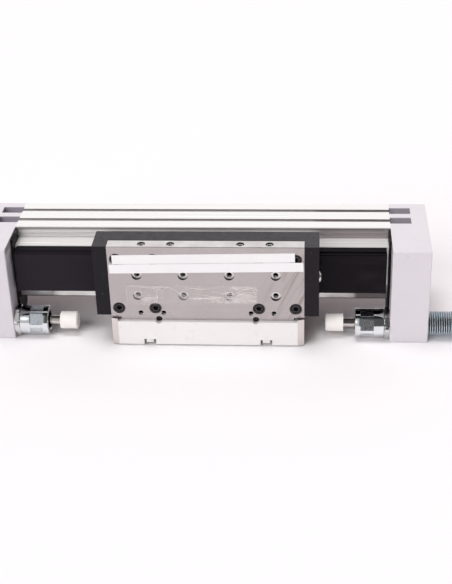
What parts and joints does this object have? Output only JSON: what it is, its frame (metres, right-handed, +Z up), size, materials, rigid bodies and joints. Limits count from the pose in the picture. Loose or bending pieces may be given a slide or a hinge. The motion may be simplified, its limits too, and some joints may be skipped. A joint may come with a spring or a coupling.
{
  "type": "rodless pneumatic cylinder",
  "caption": "Rodless pneumatic cylinder: extruded barrel with end caps, ball-guided slide plate, driver under the barrel and shock absorbers that stop the slide.",
  "frame": {"origin": "centre of the footprint, on the plane that the end caps stand on", "axes": "+X along the stroke to the right as seen from the slide plate, +Z up, the slide plate faces -Y"},
  "size_m": [0.496, 0.1038, 0.0965],
  "materials": {
    "anodised_barrel": "clear anodised, drawn along the stroke",
    "cap_coating": "light grey satin coat on die-cast aluminium",
    "gasket": "matt",
    "black_screw": "black oxide, satin",
    "ring_rubber": "matt",
    "clamp_aluminium": "machined",
    "plug_brass": "nickel-plated, satin",
    "rail_steel": "black-coated hardened steel, satin",
    "rail_strip": "satin",
    "band_steel": "rolled",
    "band_plastic": "satin",
    "zinc_thread": "blue zinc plated",
    "sleeve_steel": "turned and milled",
    "rod_steel": "hard chrome",
    "buffer_plastic": "warm white, satin",
    "ground_steel": "ground, fine lines along the stroke",
    "bright_aluminium": "fine milled, bright anodised",
    "hardened_steel": "ground",
    "carriage_steel": "ground",
    "ball_steel": "polished",
    "cover_plastic": "fine satin",
    "wiper_rubber": "matt",
    "small_steel": "satin",
    "nipple_steel": "bright zinc",
    "yoke_aluminium": "machined",
    "piston_plastic": "satin",
    "guide_ring": "satin",
    "magnet": "pressed"
  },
  "bodies": {
    "housing": {"barrel_profile": "anodised_barrel", "left_end_cap": "cap_coating", "right_end_cap": "cap_coating", "left_cap_gasket": "gasket", "right_cap_gasket": "gasket", "end_cap_screws": "black_screw", "spigot_rings": "ring_rubber", "band_clamps": "clamp_aluminium", "clamp_screws": "black_screw", "port_plugs": "plug_brass", "guide_rail": "rail_steel", "rail_screws": "black_screw", "rail_cover_strip": "rail_strip", "outer_cover_band": "band_steel", "inner_seal_band": "band_plastic", "left_shock_body": "zinc_thread", "right_shock_body": "zinc_thread", "left_stop_sleeve": "sleeve_steel", "right_stop_sleeve": "sleeve_steel", "left_lock_nut": "sleeve_steel", "right_lock_nut": "sleeve_steel"},
    "slide_unit": {"slide_plate": "ground_steel", "plate_screws": "black_screw", "parting_pins": "black_screw", "driver_block": "bright_aluminium", "driver_screws": "black_screw", "driver_inserts": "bright_aluminium", "left_stop_plate": "hardened_steel", "right_stop_plate": "hardened_steel", "stop_plate_screws": "black_screw", "left_guide_carriage": "carriage_steel", "right_guide_carriage": "carriage_steel", "guide_balls": "ball_steel", "carriage_spacer": "cover_plastic", "top_cover": "cover_plastic", "left_end_cover": "cover_plastic", "right_end_cover": "cover_plastic", "left_wiper": "wiper_rubber", "right_wiper": "wiper_rubber", "cover_screws": "small_steel", "grease_nipples": "nipple_steel", "piston_yoke": "yoke_aluminium", "yoke_screws": "black_screw", "left_piston": "piston_plastic", "right_piston": "piston_plastic", "piston_seals": "ring_rubber", "piston_rings": "guide_ring", "piston_magnets": "magnet"},
    "left_buffer_rod": {"left_rod": "rod_steel", "left_buffer": "buffer_plastic"},
    "right_buffer_rod": {"right_rod": "rod_steel", "right_buffer": "buffer_plastic"}
  },
  "joints": [
    {"name": "slide_travel", "type": "slide", "parent": "housing", "child": "slide_unit", "axis": [1, 0, 0], "range_m": [-0.0576, 0.0424], "deforming": ["inner_seal_band", "outer_cover_band", "left_rod", "left_buffer", "right_rod", "right_buffer"]},
    {"name": "left_rod_stroke", "type": "slide", "parent": "housing", "child": "left_buffer_rod", "axis": [1, 0, 0], "range_m": [-0.026, 0], "stiffness_N_per_m": 200, "springref_m": 0.03},
    {"name": "right_rod_stroke", "type": "slide", "parent": "housing", "child": "right_buffer_rod", "axis": [1, 0, 0], "range_m": [0, 0.026], "stiffness_N_per_m": 200, "springref_m": -0.03}
  ]
}
